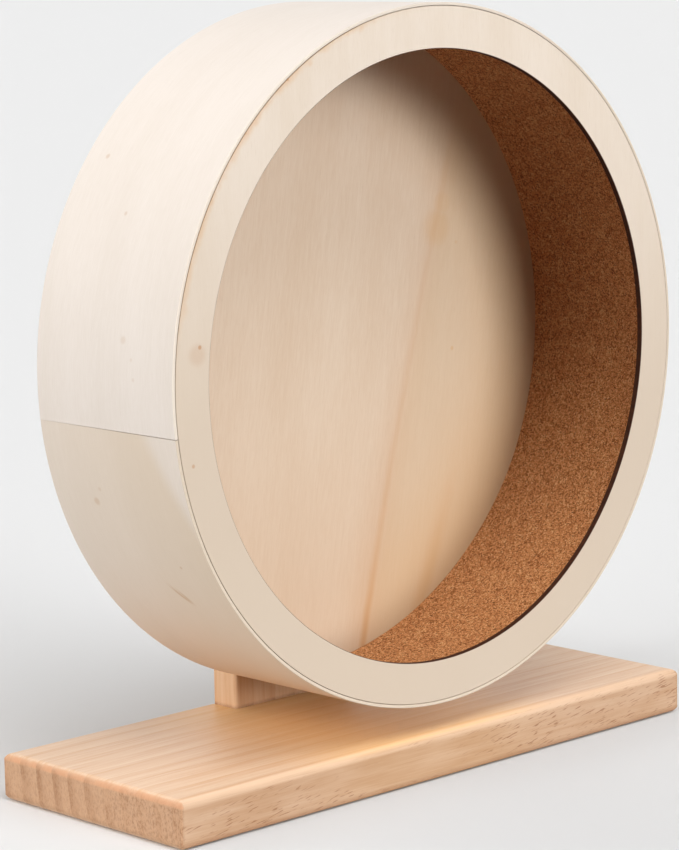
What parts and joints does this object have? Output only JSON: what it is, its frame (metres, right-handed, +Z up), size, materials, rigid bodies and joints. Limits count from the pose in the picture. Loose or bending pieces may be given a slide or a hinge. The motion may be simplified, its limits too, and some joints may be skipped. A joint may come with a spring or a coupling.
{
  "type": "rodent exercise wheel",
  "caption": "Wooden drum wheel, open at the front and lined with cork, turning freely on a bearing axle in a post on a flat board base, for a small rodent to run in.",
  "frame": {"origin": "centre of the base board's underside", "axes": "+X along the base board, -Y towards the open side of the drum, +Z up"},
  "size_m": [0.337, 0.1325, 0.366],
  "materials": {
    "pine": "planed, unvarnished pine",
    "plywood": "sanded poplar plywood",
    "cork": "granulated cork sheet",
    "beech": "turned beech",
    "zinc_steel": "bright zinc plated",
    "bearing_steel": "ground steel"
  },
  "bodies": {
    "stand": {"base_board": "pine", "upright_post": "pine", "post_dowels": "beech", "post_screws": "zinc_steel", "front_outer_ring": "bearing_steel", "front_bearing_front_shield": "bearing_steel", "front_bearing_rear_shield": "bearing_steel", "rear_outer_ring": "bearing_steel", "rear_bearing_front_shield": "bearing_steel", "rear_bearing_rear_shield": "bearing_steel"},
    "wheel": {"running_band": "plywood", "front_ring": "plywood", "back_disc": "plywood", "cork_liner": "cork", "hub_block": "beech", "hub_screws": "zinc_steel", "axle_bolt": "zinc_steel", "front_spacer": "zinc_steel", "front_inner_ring": "bearing_steel", "spacer_sleeve": "zinc_steel", "rear_inner_ring": "bearing_steel", "rear_washer": "zinc_steel", "lock_nut": "zinc_steel"},
    "front_ball_set": {"front_balls": "bearing_steel", "front_cage": "bearing_steel"},
    "rear_ball_set": {"rear_balls": "bearing_steel", "rear_cage": "bearing_steel"}
  },
  "joints": [
    {"name": "wheel_spin", "type": "hinge", "parent": "stand", "child": "wheel", "pos_m": [0, 0.05175, 0.20105], "axis": [0, 1, 0], "continuous": true},
    {"name": "front_balls_spin", "type": "hinge", "parent": "stand", "child": "front_ball_set", "pos_m": [0, 0.04625, 0.20105], "axis": [0, 1, 0], "continuous": true},
    {"name": "rear_balls_spin", "type": "hinge", "parent": "stand", "child": "rear_ball_set", "pos_m": [0, 0.05725, 0.20105], "axis": [0, 1, 0], "continuous": true}
  ],
  "couplings": [
    {"joint": "front_balls_spin", "follows": "wheel_spin", "ratio": 0.36},
    {"joint": "rear_balls_spin", "follows": "wheel_spin", "ratio": 0.36}
  ]
}
